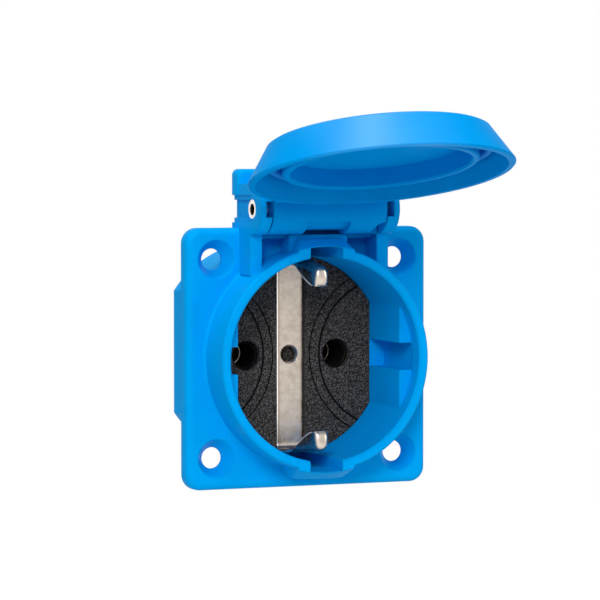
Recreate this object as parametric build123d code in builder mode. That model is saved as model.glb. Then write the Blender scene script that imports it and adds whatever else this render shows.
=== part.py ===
# Industrial panel socket with a hinged lid: two poles and side earth clips.
#
# Frame: origin on the socket axis in the plane of the panel (the rear face of
# the flange), X to the right seen from the front, Y into the panel, Z up.
# The lid is drawn open, as it stands at rest. All lengths are in millimetres.

import math
import os

from build123d import *

# Flange and its fixing holes
flange_size = 50.0
flange_thickness = 3.2
flange_corner_radius = 3.0
flange_edge_radius = 1.4
fixing_spacing = 38.0
fixing_hole_radius = 2.05
fixing_sink_radius = 3.75
fixing_land = 0.5

# Collar round the plug recess
collar_radius = 21.3
collar_height = 9.0
collar_edge = 0.3
collar_root_size = 0.5
recess_radius = 19.5
recess_lead_in = 0.4
recess_depth = 17.5
flat_half_width = 16.8
flat_ledge_depth = 3.6
side_slot_width = 5.2
side_slot_radius = 19.9
clip_channel_width = 6.7
clip_channel_radius = 21.5
bulge_radius = 22.9
bulge_half_width = 4.6
bulge_root_half_width = 6.0
bulge_root_depth = 1.0
bulge_lid_clearance = 0.3

# Body behind the panel
body_radius = 21.5
body_length = 22.7
body_flat_half_width = 17.8
body_round_length = 9.3
body_wall = 1.2
insert_ledge_thickness = 1.3
insert_ledge_radius = 18.2
insert_ledge_half_width = 15.6
wire_opening_width = 28.0
wire_opening_margin = 1.5

# Hinge on the upper edge of the flange
hinge_height = 28.6
hinge_forward = 9.4
pin_radius = 2.0
pin_bore_radius = 1.15
pin_edge = 0.3
pin_half_length = 14.05
pin_seat_clearance = 0.02
pin_running_clearance = 0.06
ear_outer = 14.3
ear_inner = 11.9
knuckle_radius = 4.8
ear_rib_forward = 8.7
ear_foot_height = 16.0
back_plate_half_width = 14.5
back_plate_rise = 7.6
back_plate_foot = 20.0
back_plate_corner_radius = 1.2
back_plate_edge_radius = 0.9
ear_channel_depth = 0.8
ear_channel_half_height = 1.7
ear_step_depth = 0.27
ear_step_half_height = 2.6
ear_window_width = 1.3
ear_window_low = -1.4
ear_window_high = 1.5
shelf_bottom = 23.0
shelf_thickness = 0.7
shelf_forward = 6.2
bridge_forward = 8.0

# Lid, drawn in its own frame: origin in the centre of the rim
lid_open_angle = 103.4
lid_rim_radius = 24.6
lid_top_radius = 20.4
lid_height = 7.2
lid_band_height = 0.45
lid_lip_width = 1.35
lid_top_edge = 0.4
lid_rim_edge = 0.3
lid_web_inset = 2.0
lid_rim_offset = -0.15
lid_side_clearance = 0.25
seal_gap = 0.1
lid_wall_foot_radius = 21.9
lid_seat_outer_radius = 21.6
lid_seat_depth = 4.5
inner_ring_outer_radius = 18.1
inner_ring_inner_radius = 16.6
inner_ring_depth = 1.4
inner_ring_edge = 0.35
inner_floor_depth = 5.0
heel_gap = 0.12
heel_low = 1.2
heel_high = 4.6
barrel_relief_half_width = 4.4
barrel_relief_depth = 0.85
barrel_relief_height = 2.4
hook_width = 2.3
hook_height = 2.2

# Soft ring that the lid presses on the collar
seal_outer_radius = 20.95
seal_inner_radius = 19.6
seal_edge = 0.35

# Black insert with the face that the plug meets
insert_clearance = 0.1
insert_plate_thickness = 3.0
contact_spacing = 19.0
contact_hole_radius = 2.9
contact_hole_length = 1.4
strip_groove_width = 6.0
face_ring_offset = 20.5
face_rings = ((14.6, 0.36), (16.6, 0.26))
face_ring_depth = 0.2
face_ring_margin = 0.2

# Earth bracket: one bent strip with a clip at each end
strip_width = 5.65
strip_thickness = 0.8
strip_set_back = 1.05
strip_bend_radius = 1.4
strip_bend_height = 19.35
clip_peak_forward = 9.2
clip_peak_height = 14.1
clip_peak_radius = 1.4
clip_end_forward = 9.75
clip_end_height = 17.7
clip_nose_half_width = 1.05
strip_hole_radius = 1.5
strip_hole_bevel = 0.35
strip_hole_pit_depth = 1.5

# Live contacts and what holds them
sleeve_radius = 3.1
sleeve_bore_radius = 2.45
sleeve_bore_length = 7.6
sleeve_slot_width = 0.6
sleeve_slot_length = 6.0
sleeve_clearance = 0.04
sleeve_spring_thickness = 0.35
sleeve_spring_width = 1.4
sleeve_spring_set_back = 0.6
sleeve_spring_gap_degrees = 50.0
spring_room = 0.3
carrier_clearance = 0.2
carrier_length = 5.4
frame_length = 5.0
frame_top_room = 0.9
terminal_width = 7.0
terminal_length = 5.6
terminal_clearance = 0.1
wire_hole_radius = 1.6
wire_hole_set_back = 2.0
terminal_screw_radius = 1.5
terminal_screw_head_radius = 2.8
terminal_screw_head_height = 1.6
terminal_screw_gap = 0.5
screw_slot_width = 0.7
screw_slot_depth = 0.7
screw_thread_clearance = 0.02
earth_tail_width = 3.0
earth_tail_thickness = 1.0
earth_tail_clearance = 0.1

# Screws that clamp the frame, the carrier and the insert to the housing
carrier_screw_z = 12.0
carrier_screw_radius = 1.25
carrier_screw_head_radius = 2.0
carrier_screw_head_height = 1.8
carrier_screw_grip = 2.5
carrier_screw_bite = 2.0
carrier_screw_clearance = 0.15

# Places worked out from the sizes above, as depths along Y
flange_front = -flange_thickness
collar_front = flange_front - collar_height
ledge_front = collar_front + flat_ledge_depth
insert_face = collar_front + recess_depth
insert_seat = insert_face + insert_plate_thickness
carrier_front = insert_seat + insert_ledge_thickness
terminal_front = carrier_front + carrier_length
terminal_rear = terminal_front + terminal_length
contact_x = contact_spacing / 2
bulge_foot = collar_radius - bulge_root_depth
ear_channel_floor = ear_outer - ear_channel_depth
ear_step_floor = ear_outer - ear_step_depth
wire_depth = terminal_front + wire_hole_set_back
wire_opening_front = wire_depth - wire_hole_radius - wire_opening_margin
strip_face = insert_face + strip_set_back
strip_rear = strip_face + strip_thickness
fixing_sink_angle = 2 * math.degrees(
    math.atan2(fixing_sink_radius - fixing_hole_radius, flange_thickness - fixing_land)
)
pole_sides = (("left", -1), ("right", 1))
carrier_screws = (
    ("left", -contact_x, carrier_screw_z, terminal_front + carrier_screw_grip),
    ("right", contact_x, carrier_screw_z, terminal_front + carrier_screw_grip),
    ("lower", 0.0, -carrier_screw_z, carrier_front + carrier_screw_grip),
)

# The hinge axis and the frame of the open lid
hinge_point = Vector(0, -hinge_forward, hinge_height)
back_plate_height = hinge_height + back_plate_rise
open_angle = math.radians(lid_open_angle)
lid_outward = Vector(0, -math.cos(open_angle), math.sin(open_angle))
lid_away = Vector(0, -math.sin(open_angle), -math.cos(open_angle))
lid_centre = hinge_point + lid_away * hinge_height + lid_outward * lid_rim_offset
lid_section = Plane(origin=lid_centre, x_dir=(1, 0, 0), z_dir=lid_away)
lid_profile = Plane(origin=lid_centre, x_dir=-lid_away, z_dir=(1, 0, 0))
lid_rim_forward = hinge_forward + lid_rim_offset
bulge_nose_radius = lid_rim_radius - lid_lip_width
seal_depth = seal_gap - collar_front - lid_rim_forward

os.makedirs("parts", exist_ok=True)


def across(depth):
    """Plane square to the socket axis at a depth along Y, its normal towards the front."""
    return Plane.XZ.offset(-depth)


def finish(part, name):
    """Label a finished piece and write it as a STEP file of the same name."""
    part.label = name
    export_step(part, f"parts/{name}.step")


def recess_outline(radius, half_width):
    """Round outline with a flat on each side, used for the recess, the insert and the rear body."""
    Circle(radius)
    Rectangle(2 * half_width, 2 * radius, mode=Mode.INTERSECT)


# Housing: flange, collar, hinge ears and rear body in one moulding
with BuildPart() as housing:
    with BuildSketch(across(0)):
        RectangleRounded(flange_size, flange_size, flange_corner_radius)
    extrude(amount=flange_thickness)
    fillet(housing.faces().sort_by(Axis.Y)[0].edges(), flange_edge_radius)

    # Back plate of the hinge, rising above the flange
    with BuildSketch(across(0)):
        with Locations((0, (back_plate_foot + back_plate_height) / 2)):
            Rectangle(2 * back_plate_half_width, back_plate_height - back_plate_foot)
    back_plate = extrude(amount=flange_thickness)
    plate_corners = back_plate.edges().filter_by(Axis.Y).group_by(Axis.Z)[-1]
    fillet(plate_corners, back_plate_corner_radius)
    plate_front = housing.edges().group_by(Axis.Y)[0].filter_by(
        lambda edge: edge.bounding_box().max.Z > flange_size / 2
    )
    fillet(plate_front, back_plate_edge_radius)

    # Collar in front of the flange, with a sloping foot
    with BuildSketch(Plane.XY):
        with BuildLine():
            Polyline(
                (0, 0),
                (0, collar_front),
                (collar_radius - collar_edge, collar_front),
                (collar_radius, collar_front + collar_edge),
                (collar_radius, flange_front - collar_root_size),
                (collar_radius + collar_root_size, flange_front),
                (collar_radius + collar_root_size, 0),
                close=True,
            )
        make_face()
    revolve(axis=Axis.Y)

    # Round part of the body just behind the panel, then the flat-sided part
    with BuildSketch(across(0)):
        Circle(body_radius)
    extrude(amount=-body_round_length)
    with BuildSketch(across(0)):
        recess_outline(body_radius, body_flat_half_width)
    extrude(amount=-body_length)

    # Bulges over the two channels of the earth clips
    for side in (1, -1):
        with BuildSketch(across(flange_front)):
            with BuildLine():
                Polyline(
                    (-bulge_root_half_width, side * bulge_foot),
                    (-bulge_half_width, side * bulge_radius),
                    (bulge_half_width, side * bulge_radius),
                    (bulge_root_half_width, side * bulge_foot),
                    close=True,
                )
            make_face()
        extrude(amount=collar_height)
        with BuildSketch(across(0)):
            with Locations((0, side * (recess_radius + bulge_radius) / 2)):
                Rectangle(2 * bulge_half_width, bulge_radius - recess_radius)
        extrude(amount=-body_round_length)

    # The noses of the bulges slope back, so that the wall of the closed lid clears them
    with BuildSketch(Plane.XY):
        with BuildLine():
            Polyline(
                (lid_wall_foot_radius - bulge_lid_clearance, collar_front),
                (lid_rim_radius, collar_front),
                (lid_rim_radius, bulge_lid_clearance - lid_rim_forward),
                (bulge_nose_radius, bulge_lid_clearance - lid_rim_forward),
                close=True,
            )
        make_face()
    revolve(axis=Axis.Y, mode=Mode.SUBTRACT)

    # Hinge ears: a rib up the flange that ends in a knuckle round the pin
    for side in (1, -1):
        with BuildSketch(Plane.YZ.offset(side * ear_inner)):
            with Locations((-hinge_forward, hinge_height)):
                Circle(knuckle_radius)
            with BuildLine():
                Polyline(
                    (0, ear_foot_height),
                    (-ear_rib_forward, ear_foot_height),
                    (-ear_rib_forward, hinge_height),
                    (-hinge_forward, hinge_height),
                    (-hinge_forward, hinge_height + knuckle_radius),
                    (0, hinge_height + knuckle_radius),
                    close=True,
                )
            make_face()
        extrude(amount=side * (ear_outer - ear_inner))

    # Shelf between the ears, with a bridge beside the upper bulge
    with BuildSketch(Plane.XY.offset(shelf_bottom)):
        with Locations((0, (flange_front - shelf_forward) / 2)):
            Rectangle(2 * ear_inner, shelf_forward + flange_front)
    extrude(amount=shelf_thickness)
    with BuildSketch(Plane.XY.offset(bulge_foot)):
        with Locations((0, (flange_front - bridge_forward) / 2)):
            Rectangle(2 * bulge_root_half_width, bridge_forward + flange_front)
    extrude(amount=shelf_bottom + shelf_thickness - bulge_foot)

    # Plug recess down to the insert, with its lead-in at the mouth
    with BuildSketch(across(collar_front)):
        Circle(recess_radius)
    extrude(amount=-flat_ledge_depth, mode=Mode.SUBTRACT)
    with BuildSketch(across(collar_front)):
        Circle(recess_radius + recess_lead_in)
    extrude(amount=-recess_lead_in, taper=45, mode=Mode.SUBTRACT)
    with BuildSketch(across(ledge_front)):
        recess_outline(recess_radius, flat_half_width)
    extrude(amount=-(insert_seat - ledge_front), mode=Mode.SUBTRACT)

    # Slots in the middle of the two flats, down to the level of the insert's face
    with BuildSketch(across(ledge_front)):
        Circle(side_slot_radius)
        Rectangle(2 * side_slot_radius, side_slot_width, mode=Mode.INTERSECT)
    extrude(amount=-(insert_face - ledge_front), mode=Mode.SUBTRACT)

    # Channels of the earth clips
    with BuildSketch(across(collar_front)):
        Circle(clip_channel_radius)
        Rectangle(clip_channel_width, 2 * clip_channel_radius, mode=Mode.INTERSECT)
    extrude(amount=-(insert_seat - collar_front), mode=Mode.SUBTRACT)

    # Opening of the ledge that the insert rests on, and the room behind it
    with BuildSketch(across(insert_seat)):
        recess_outline(insert_ledge_radius, insert_ledge_half_width)
    extrude(amount=-insert_ledge_thickness, mode=Mode.SUBTRACT)
    with BuildSketch(across(carrier_front)):
        recess_outline(body_radius - body_wall, body_flat_half_width - body_wall)
    extrude(amount=-(body_length - carrier_front), mode=Mode.SUBTRACT)
    # Opening in the lower wall, by which the wires reach the terminals
    with BuildSketch(across(body_length)):
        with Locations((0, -body_radius)):
            Rectangle(wire_opening_width, body_radius)
    extrude(amount=body_length - wire_opening_front, mode=Mode.SUBTRACT)

    # Countersunk fixing holes
    with Locations(across(flange_front)):
        with GridLocations(fixing_spacing, fixing_spacing, 2, 2):
            CounterSinkHole(
                fixing_hole_radius, fixing_sink_radius, flange_thickness, fixing_sink_angle
            )

    # Channel on the outside of each ear, in which the end of the pin lies
    for side in (1, -1):
        with BuildSketch(Plane.YZ.offset(side * ear_outer)):
            with BuildLine():
                Polyline(
                    (0, hinge_height - ear_channel_half_height),
                    (-hinge_forward, hinge_height - ear_channel_half_height),
                    (-hinge_forward, hinge_height + ear_channel_half_height),
                    (0, hinge_height + ear_channel_half_height),
                    close=True,
                )
            make_face()
            with Locations((-hinge_forward, hinge_height)):
                Circle(pin_radius + pin_seat_clearance)
        extrude(amount=-side * ear_channel_depth, mode=Mode.SUBTRACT)
        with BuildSketch(Plane.YZ.offset(side * back_plate_half_width)):
            with Locations((flange_front / 2, hinge_height)):
                Rectangle(flange_thickness, 2 * ear_channel_half_height)
        extrude(amount=-side * (back_plate_half_width - ear_channel_floor), mode=Mode.SUBTRACT)
        with BuildSketch(Plane.YZ.offset(side * back_plate_half_width)):
            with Locations((-hinge_forward / 2, hinge_height)):
                Rectangle(hinge_forward, 2 * ear_step_half_height)
        extrude(amount=-side * (back_plate_half_width - ear_step_floor), mode=Mode.SUBTRACT)

    # Bore for the pin and the window in front of it
    with BuildSketch(Plane.YZ.offset(-ear_outer)):
        with Locations((-hinge_forward, hinge_height)):
            Circle(pin_radius + pin_seat_clearance)
    extrude(amount=2 * ear_outer, mode=Mode.SUBTRACT)
    for side in (1, -1):
        with BuildSketch(Plane.XY.offset(hinge_height + ear_window_low)):
            window_x = side * (ear_inner + ear_window_width / 2)
            with Locations((window_x, -hinge_forward - knuckle_radius / 2)):
                Rectangle(ear_window_width, knuckle_radius)
        extrude(amount=ear_window_high - ear_window_low, mode=Mode.SUBTRACT)
finish(housing.part, "housing")

# Lid: a shallow tapered cap on a barrel that turns on the pin
barrel_half_width = ear_inner - lid_side_clearance
hinge_z = -lid_rim_offset
with BuildPart() as lid:
    with BuildSketch(lid_section):
        with BuildLine():
            Polyline(
                (0, 0),
                (lid_rim_radius - lid_rim_edge, 0),
                (lid_rim_radius, lid_rim_edge),
                (lid_rim_radius, lid_band_height),
                (lid_top_radius, lid_height),
                (0, lid_height),
                close=True,
            )
        make_face()
    revolve(axis=Axis(lid_centre, lid_outward))
    top_rim = lid.faces().sort_by(Axis(lid_centre, lid_outward))[-1].edges()
    chamfer(top_rim, lid_top_edge)

    # Barrel, the web that joins it to the cap, and the heel that stops against the back plate
    with BuildSketch(lid_profile):
        with Locations((hinge_height, hinge_z)):
            Circle(knuckle_radius)
        with BuildLine():
            Polyline(
                (hinge_height, hinge_z),
                (lid_top_radius, lid_band_height),
                (lid_top_radius - lid_web_inset, lid_height - lid_top_edge),
                (hinge_height, hinge_z + knuckle_radius),
                close=True,
            )
        make_face()
    extrude(amount=barrel_half_width, both=True)
    with BuildSketch(Plane.YZ.offset(-barrel_half_width)):
        with BuildLine():
            Polyline(
                (-hinge_forward, hinge_height + heel_low),
                (flange_front - heel_gap, hinge_height + heel_low),
                (flange_front - heel_gap, hinge_height + heel_high),
                (-hinge_forward, hinge_height + heel_high),
                close=True,
            )
        make_face()
    extrude(amount=2 * barrel_half_width)

    # Hollow of the cap: tapered wall, seat of the seal, inner ring and floor
    with BuildSketch(lid_section):
        with BuildLine():
            Polyline(
                (0, 0),
                (lid_rim_radius - lid_lip_width, 0),
                (lid_wall_foot_radius, seal_depth),
                (lid_seat_outer_radius, lid_seat_depth),
                (inner_ring_outer_radius, lid_seat_depth),
                (inner_ring_outer_radius, inner_ring_depth),
                (inner_ring_inner_radius, inner_ring_depth),
                (inner_ring_inner_radius, inner_floor_depth),
                (0, inner_floor_depth),
                close=True,
            )
        make_face()
    revolve(axis=Axis(lid_centre, lid_outward), mode=Mode.SUBTRACT)
    ring_edges = lid.edges().filter_by(GeomType.CIRCLE).filter_by(
        lambda edge: knuckle_radius < edge.radius < seal_inner_radius
    )
    ring_crest = ring_edges.group_by(Axis(lid_centre, lid_outward))[0]
    chamfer(ring_crest, inner_ring_edge)

    # Running bore, shallow relief round the middle of the barrel and the hook in its corner
    with BuildSketch(Plane.YZ.offset(-barrel_half_width)):
        with Locations((-hinge_forward, hinge_height)):
            Circle(pin_radius + pin_running_clearance)
    extrude(amount=2 * barrel_half_width, mode=Mode.SUBTRACT)
    with BuildSketch(Plane.YZ.offset(-barrel_relief_half_width)):
        with BuildLine():
            Polyline(
                (-hinge_forward - knuckle_radius, hinge_height - knuckle_radius),
                (-hinge_forward + knuckle_radius, hinge_height - knuckle_radius),
                (-hinge_forward + knuckle_radius, hinge_height - knuckle_radius + barrel_relief_height),
                (-hinge_forward - knuckle_radius, hinge_height - knuckle_radius + barrel_relief_height),
                close=True,
            )
        make_face()
        with Locations((-hinge_forward, hinge_height)):
            Circle(knuckle_radius - barrel_relief_depth, mode=Mode.SUBTRACT)
    extrude(amount=2 * barrel_relief_half_width, mode=Mode.SUBTRACT)
    with BuildSketch(Plane.XZ.offset(hinge_forward)):
        with Locations((barrel_half_width, hinge_height - knuckle_radius)):
            Ellipse(hook_width, hook_height)
    extrude(amount=knuckle_radius, mode=Mode.SUBTRACT)
finish(lid.part, "lid")

# Soft ring in its seat in the lid
with BuildPart() as lid_seal:
    with BuildSketch(lid_section):
        with BuildLine():
            Polyline(
                (seal_inner_radius, lid_seat_depth),
                (seal_outer_radius, lid_seat_depth),
                (seal_outer_radius, seal_depth + seal_edge),
                (seal_outer_radius - seal_edge, seal_depth),
                (seal_inner_radius + seal_edge, seal_depth),
                (seal_inner_radius, seal_depth + seal_edge),
                close=True,
            )
        make_face()
    revolve(axis=Axis(lid_centre, lid_outward))
finish(lid_seal.part, "lid_seal")

# Hollow hinge pin, pressed in the ears
with BuildPart() as hinge_pin:
    with BuildSketch(Plane.YZ.offset(-pin_half_length)):
        with Locations((-hinge_forward, hinge_height)):
            Circle(pin_radius)
    extrude(amount=2 * pin_half_length)
    chamfer(hinge_pin.edges().filter_by(GeomType.CIRCLE), pin_edge)
    with BuildSketch(Plane.YZ.offset(-pin_half_length)):
        with Locations((-hinge_forward, hinge_height)):
            Circle(pin_bore_radius)
    extrude(amount=2 * pin_half_length, mode=Mode.SUBTRACT)
finish(hinge_pin.part, "hinge_pin")

# Insert: a plate that slides in from the front, with a shorter body through the ledge
with BuildPart() as socket_insert:
    with BuildSketch(across(insert_face)):
        recess_outline(recess_radius - insert_clearance, flat_half_width - insert_clearance)
    extrude(amount=-insert_plate_thickness)
    with BuildSketch(across(insert_seat)):
        recess_outline(
            insert_ledge_radius - insert_clearance, insert_ledge_half_width - insert_clearance
        )
    extrude(amount=-insert_ledge_thickness)

    # Groove of the earth strip with a pit under its hole and a slot for its tail
    with BuildSketch(across(insert_face)):
        Rectangle(strip_groove_width, 2 * recess_radius)
    extrude(amount=-(strip_rear - insert_face), mode=Mode.SUBTRACT)
    with BuildSketch(across(strip_rear)):
        Circle(strip_hole_radius)
    extrude(amount=-strip_hole_pit_depth, mode=Mode.SUBTRACT)
    with BuildSketch(across(strip_rear)):
        with Locations((0, terminal_width / 2 - earth_tail_thickness)):
            Rectangle(
                earth_tail_width + 2 * earth_tail_clearance,
                earth_tail_thickness + 2 * earth_tail_clearance,
            )
    extrude(amount=-(carrier_front - strip_rear), mode=Mode.SUBTRACT)

    # Holes for the plug's pins, widening to the room of the sleeves
    with BuildSketch(across(insert_face)):
        with Locations((contact_x, 0), (-contact_x, 0)):
            Circle(contact_hole_radius)
    extrude(amount=-contact_hole_length, mode=Mode.SUBTRACT)
    with BuildSketch(across(insert_face + contact_hole_length)):
        with Locations((contact_x, 0), (-contact_x, 0)):
            Circle(sleeve_radius + sleeve_spring_thickness + spring_room)
    extrude(amount=-(carrier_front - insert_face - contact_hole_length), mode=Mode.SUBTRACT)

    # Fine engraved arcs round each pole
    with BuildSketch(across(insert_face)):
        for ring_radius, ring_width in face_rings:
            with Locations((face_ring_offset, 0), (-face_ring_offset, 0)):
                Circle(ring_radius + ring_width / 2)
                Circle(ring_radius - ring_width / 2, mode=Mode.SUBTRACT)
        Rectangle(strip_groove_width + 2 * face_ring_margin, 2 * recess_radius, mode=Mode.SUBTRACT)
    extrude(amount=-face_ring_depth, mode=Mode.SUBTRACT)

    # Pilot holes for the carrier screws
    with BuildSketch(across(carrier_front)):
        for _, screw_x, screw_z, _ in carrier_screws:
            with Locations((screw_x, screw_z)):
                Circle(carrier_screw_radius + screw_thread_clearance)
    extrude(amount=carrier_screw_bite, mode=Mode.SUBTRACT)
finish(socket_insert.part, "socket_insert")

# Earth bracket: one strip across the face, bent forward at both ends into springy clips
with BuildPart() as earth_bracket:
    strip_centre = strip_face + strip_thickness / 2
    with BuildSketch(Plane.YZ.offset(-strip_width / 2)):
        for side in (1, -1):
            with BuildLine():
                FilletPolyline(
                    (strip_centre, 0),
                    (strip_centre, side * strip_bend_height),
                    (-clip_peak_forward, side * clip_peak_height),
                    (-clip_end_forward, side * clip_end_height),
                    radius=(strip_bend_radius, clip_peak_radius),
                )
            trace(line_width=strip_thickness)
    extrude(amount=strip_width)
    # Each clip narrows towards its nose
    with BuildSketch(Plane.XY.offset(-body_radius)):
        with BuildLine():
            Polyline(
                (-strip_width / 2, body_length),
                (-strip_width / 2, insert_face - strip_bend_radius / 2),
                (-clip_nose_half_width, -clip_peak_forward),
                (-clip_nose_half_width, collar_front),
                (clip_nose_half_width, collar_front),
                (clip_nose_half_width, -clip_peak_forward),
                (strip_width / 2, insert_face - strip_bend_radius / 2),
                (strip_width / 2, body_length),
                close=True,
            )
        make_face()
    extrude(amount=2 * body_radius, mode=Mode.INTERSECT)
    with Locations(across(strip_face)):
        CounterSinkHole(strip_hole_radius, strip_hole_radius + strip_hole_bevel, strip_thickness)
finish(earth_bracket.part, "earth_bracket")

# Carrier behind the insert: holds the sleeves
with BuildPart() as contact_carrier:
    with BuildSketch(across(carrier_front)):
        recess_outline(
            body_radius - body_wall - carrier_clearance,
            body_flat_half_width - body_wall - carrier_clearance,
        )
    extrude(amount=-carrier_length)
    with BuildSketch(across(carrier_front)):
        with Locations((contact_x, 0), (-contact_x, 0)):
            Circle(sleeve_radius + sleeve_clearance)
        with Locations((0, terminal_width / 2 - earth_tail_thickness)):
            Rectangle(
                earth_tail_width + 2 * earth_tail_clearance,
                earth_tail_thickness + 2 * earth_tail_clearance,
            )
        for _, screw_x, screw_z, _ in carrier_screws:
            with Locations((screw_x, screw_z)):
                Circle(carrier_screw_radius + carrier_screw_clearance)
    extrude(amount=-carrier_length, mode=Mode.SUBTRACT)
    with BuildSketch(across(carrier_front + carrier_screw_grip)):
        with Locations((0, -carrier_screw_z)):
            Circle(carrier_screw_head_radius + carrier_screw_clearance)
    extrude(amount=-carrier_length, mode=Mode.SUBTRACT)
finish(contact_carrier.part, "contact_carrier")

# Frame on the back of the carrier: walls between the terminals, open below for the wires
frame_top = terminal_width / 2 + frame_top_room
with BuildPart() as terminal_frame:
    with BuildSketch(across(terminal_front)):
        recess_outline(
            body_radius - body_wall - carrier_clearance,
            body_flat_half_width - body_wall - carrier_clearance,
        )
        with Locations(*[(frame_x, frame_top - body_radius) for frame_x in (-contact_x, 0, contact_x)]):
            Rectangle(terminal_width + 2 * terminal_clearance, 2 * body_radius, mode=Mode.SUBTRACT)
        for _, screw_x, screw_z, _ in carrier_screws:
            with Locations((screw_x, screw_z)):
                Circle(carrier_screw_radius + carrier_screw_clearance, mode=Mode.SUBTRACT)
    extrude(amount=-frame_length)
    with BuildSketch(across(terminal_front + carrier_screw_grip)):
        with Locations((contact_x, carrier_screw_z), (-contact_x, carrier_screw_z)):
            Circle(carrier_screw_head_radius + carrier_screw_clearance)
    extrude(amount=-frame_length, mode=Mode.SUBTRACT)
finish(terminal_frame.part, "terminal_frame")

# One contact sleeve, its clamp ring and its terminal for each pole
sleeve_front = insert_face + contact_hole_length
for side_name, side in pole_sides:
    with BuildPart() as contact:
        with BuildSketch(across(sleeve_front)):
            with Locations((side * contact_x, 0)):
                Circle(sleeve_radius)
        extrude(amount=-(terminal_front - sleeve_front))
        with BuildSketch(across(sleeve_front)):
            with Locations((side * contact_x, 0)):
                Circle(sleeve_bore_radius)
        extrude(amount=-sleeve_bore_length, mode=Mode.SUBTRACT)
        with BuildSketch(across(sleeve_front)):
            with Locations((side * contact_x, 0)):
                Rectangle(2 * sleeve_radius, sleeve_slot_width)
                Rectangle(sleeve_slot_width, 2 * sleeve_radius)
        extrude(amount=-sleeve_slot_length, mode=Mode.SUBTRACT)
    finish(contact.part, f"contact_{side_name}")

    with BuildPart() as contact_spring:
        with BuildSketch(across(sleeve_front + sleeve_spring_set_back)):
            with Locations((side * contact_x, 0)):
                Circle(sleeve_radius + sleeve_spring_thickness)
                Circle(sleeve_radius, mode=Mode.SUBTRACT)
            gap_half = math.radians(sleeve_spring_gap_degrees / 2)
            reach = 2 * sleeve_radius
            with BuildLine():
                Polyline(
                    (side * contact_x, 0),
                    (side * contact_x + reach * math.sin(gap_half), reach * math.cos(gap_half)),
                    (side * contact_x - reach * math.sin(gap_half), reach * math.cos(gap_half)),
                    close=True,
                )
            make_face(mode=Mode.SUBTRACT)
        extrude(amount=-sleeve_spring_width)
    finish(contact_spring.part, f"contact_spring_{side_name}")

# Terminal blocks with a cross hole for the wire and a screw from the rear
screw_tip = wire_depth + wire_hole_radius
head_front = terminal_rear + terminal_screw_gap
for terminal_name, terminal_x in (("left", -contact_x), ("earth", 0.0), ("right", contact_x)):
    with BuildPart() as terminal:
        with BuildSketch(across(terminal_front)):
            with Locations((terminal_x, 0)):
                Rectangle(terminal_width, terminal_width)
        extrude(amount=-terminal_length)
        with BuildSketch(Plane.XY.offset(-terminal_width / 2)):
            with Locations((terminal_x, wire_depth)):
                Circle(wire_hole_radius)
        extrude(amount=terminal_width, mode=Mode.SUBTRACT)
        with BuildSketch(across(terminal_rear)):
            with Locations((terminal_x, 0)):
                Circle(terminal_screw_radius + screw_thread_clearance)
        extrude(amount=terminal_rear - wire_depth, mode=Mode.SUBTRACT)
    finish(terminal.part, f"terminal_{terminal_name}")

    with BuildPart() as terminal_screw:
        with BuildSketch(across(screw_tip)):
            with Locations((terminal_x, 0)):
                Circle(terminal_screw_radius)
        extrude(amount=-(head_front - screw_tip))
        with BuildSketch(across(head_front)):
            with Locations((terminal_x, 0)):
                Circle(terminal_screw_head_radius)
        extrude(amount=-terminal_screw_head_height)
        with BuildSketch(across(head_front + terminal_screw_head_height)):
            with Locations((terminal_x, 0)):
                Rectangle(2 * terminal_screw_head_radius, screw_slot_width)
        extrude(amount=screw_slot_depth, mode=Mode.SUBTRACT)
    finish(terminal_screw.part, f"terminal_screw_{terminal_name}")

# Tail that joins the earth bracket to its terminal
with BuildPart() as earth_tail:
    with BuildSketch(across(strip_rear)):
        with Locations((0, terminal_width / 2 - earth_tail_thickness)):
            Rectangle(earth_tail_width, earth_tail_thickness)
    extrude(amount=-(terminal_front - strip_rear))
finish(earth_tail.part, "earth_tail")

# Screws into the insert, clamping the ledge, the carrier and the frame
for screw_name, screw_x, screw_z, screw_head in carrier_screws:
    with BuildPart() as carrier_screw:
        with BuildSketch(across(carrier_front - carrier_screw_bite)):
            with Locations((screw_x, screw_z)):
                Circle(carrier_screw_radius)
        extrude(amount=-(screw_head - carrier_front + carrier_screw_bite))
        with BuildSketch(across(screw_head)):
            with Locations((screw_x, screw_z)):
                Circle(carrier_screw_head_radius)
        extrude(amount=-carrier_screw_head_height)
        with BuildSketch(across(screw_head + carrier_screw_head_height)):
            with Locations((screw_x, screw_z)):
                Rectangle(2 * carrier_screw_head_radius, screw_slot_width)
                Rectangle(screw_slot_width, 2 * carrier_screw_head_radius)
        extrude(amount=screw_slot_depth, mode=Mode.SUBTRACT)
    finish(carrier_screw.part, f"carrier_screw_{screw_name}")
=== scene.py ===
"""Panel socket with a hinged lid: finishes, fine pieces, light and camera.

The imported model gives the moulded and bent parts. This script dresses them,
turns the small round parts that show as smooth surfaces, and sets up the
studio. Lengths are in metres, X to the right, Y into the panel, Z up.
"""

from __future__ import annotations

import logging
import math
from dataclasses import dataclass, field
from enum import Enum
from typing import Any, Iterable, Mapping, Union

import bpy
import numpy as np
from mathutils import Matrix, Vector

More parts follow.
